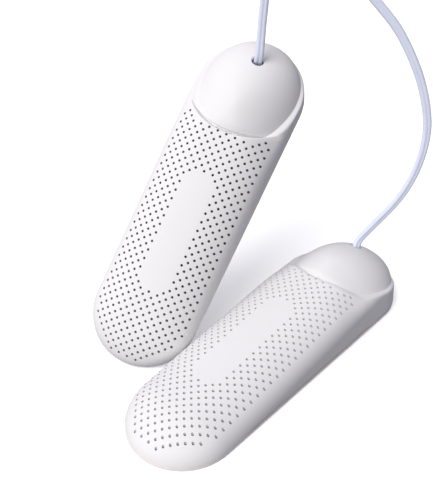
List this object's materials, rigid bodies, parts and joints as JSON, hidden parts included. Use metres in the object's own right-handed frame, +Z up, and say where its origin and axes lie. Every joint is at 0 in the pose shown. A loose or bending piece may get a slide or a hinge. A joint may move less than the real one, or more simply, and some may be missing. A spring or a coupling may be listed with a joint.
{
  "type": "boot dryer",
  "caption": "Pair of white electric boot dryers with perforated crowned tops, domed caps and a shared Y cord to a mains plug.",
  "frame": {"origin": "middle of the right dryer's flat resting face", "axes": "+X along the right dryer towards its cap and cord, +Z up from the resting face"},
  "size_m": [0.2353, 0.213, 0.3075],
  "materials": {
    "housing_plastic": "satin moulded ABS",
    "cord_pvc": "smooth PVC sheath",
    "clamp_plastic": "moulded nylon",
    "screw_steel": "zinc plated",
    "heater_tray": "heat-resistant moulding",
    "heater_ceramic": "dull ceramic between contact sheets",
    "fin_aluminium": "mill finish",
    "fuse_brass": "bright",
    "wire_insulation": "silicone insulation",
    "tie_rubber": "matt",
    "pin_nickel": "nickel plated",
    "hook_steel": "zinc plated"
  },
  "bodies": {
    "root": {"right_shell": "housing_plastic", "right_cap": "housing_plastic", "right_base_plate": "housing_plastic", "right_strain_relief": "cord_pvc", "right_cord_clamp": "clamp_plastic", "right_clamp_screws": "screw_steel", "right_cord_tail": "cord_pvc", "right_heater_frame": "heater_tray", "right_ptc_element": "heater_ceramic", "right_upper_fins": "fin_aluminium", "right_lower_fins": "fin_aluminium", "right_thermal_cutout": "fuse_brass", "right_supply_wires": "wire_insulation", "right_base_screws": "screw_steel", "left_cord": "cord_pvc", "right_cord": "cord_pvc", "y_splitter": "cord_pvc", "mains_lead": "cord_pvc", "lead_coil": "cord_pvc", "coil_tie": "tie_rubber", "plug_body": "housing_plastic", "plug_strain_relief": "cord_pvc", "plug_pins": "pin_nickel", "ceiling_hook": "hook_steel"},
    "left_dryer": {"left_shell": "housing_plastic", "left_cap": "housing_plastic", "left_base_plate": "housing_plastic", "left_strain_relief": "cord_pvc", "left_cord_clamp": "clamp_plastic", "left_clamp_screws": "screw_steel", "left_cord_tail": "cord_pvc", "left_heater_frame": "heater_tray", "left_ptc_element": "heater_ceramic", "left_upper_fins": "fin_aluminium", "left_lower_fins": "fin_aluminium", "left_thermal_cutout": "fuse_brass", "left_supply_wires": "wire_insulation", "left_base_screws": "screw_steel"}
  },
  "joints": [
    {"name": "left_dryer_swing", "type": "hinge", "parent": "root", "child": "left_dryer", "pos_m": [0.0478, 0.0531, 0.1358], "axis": [-0.1149, 0.9934, 0], "range_deg": [0, 40], "deforming": ["left_cord"]}
  ]
}
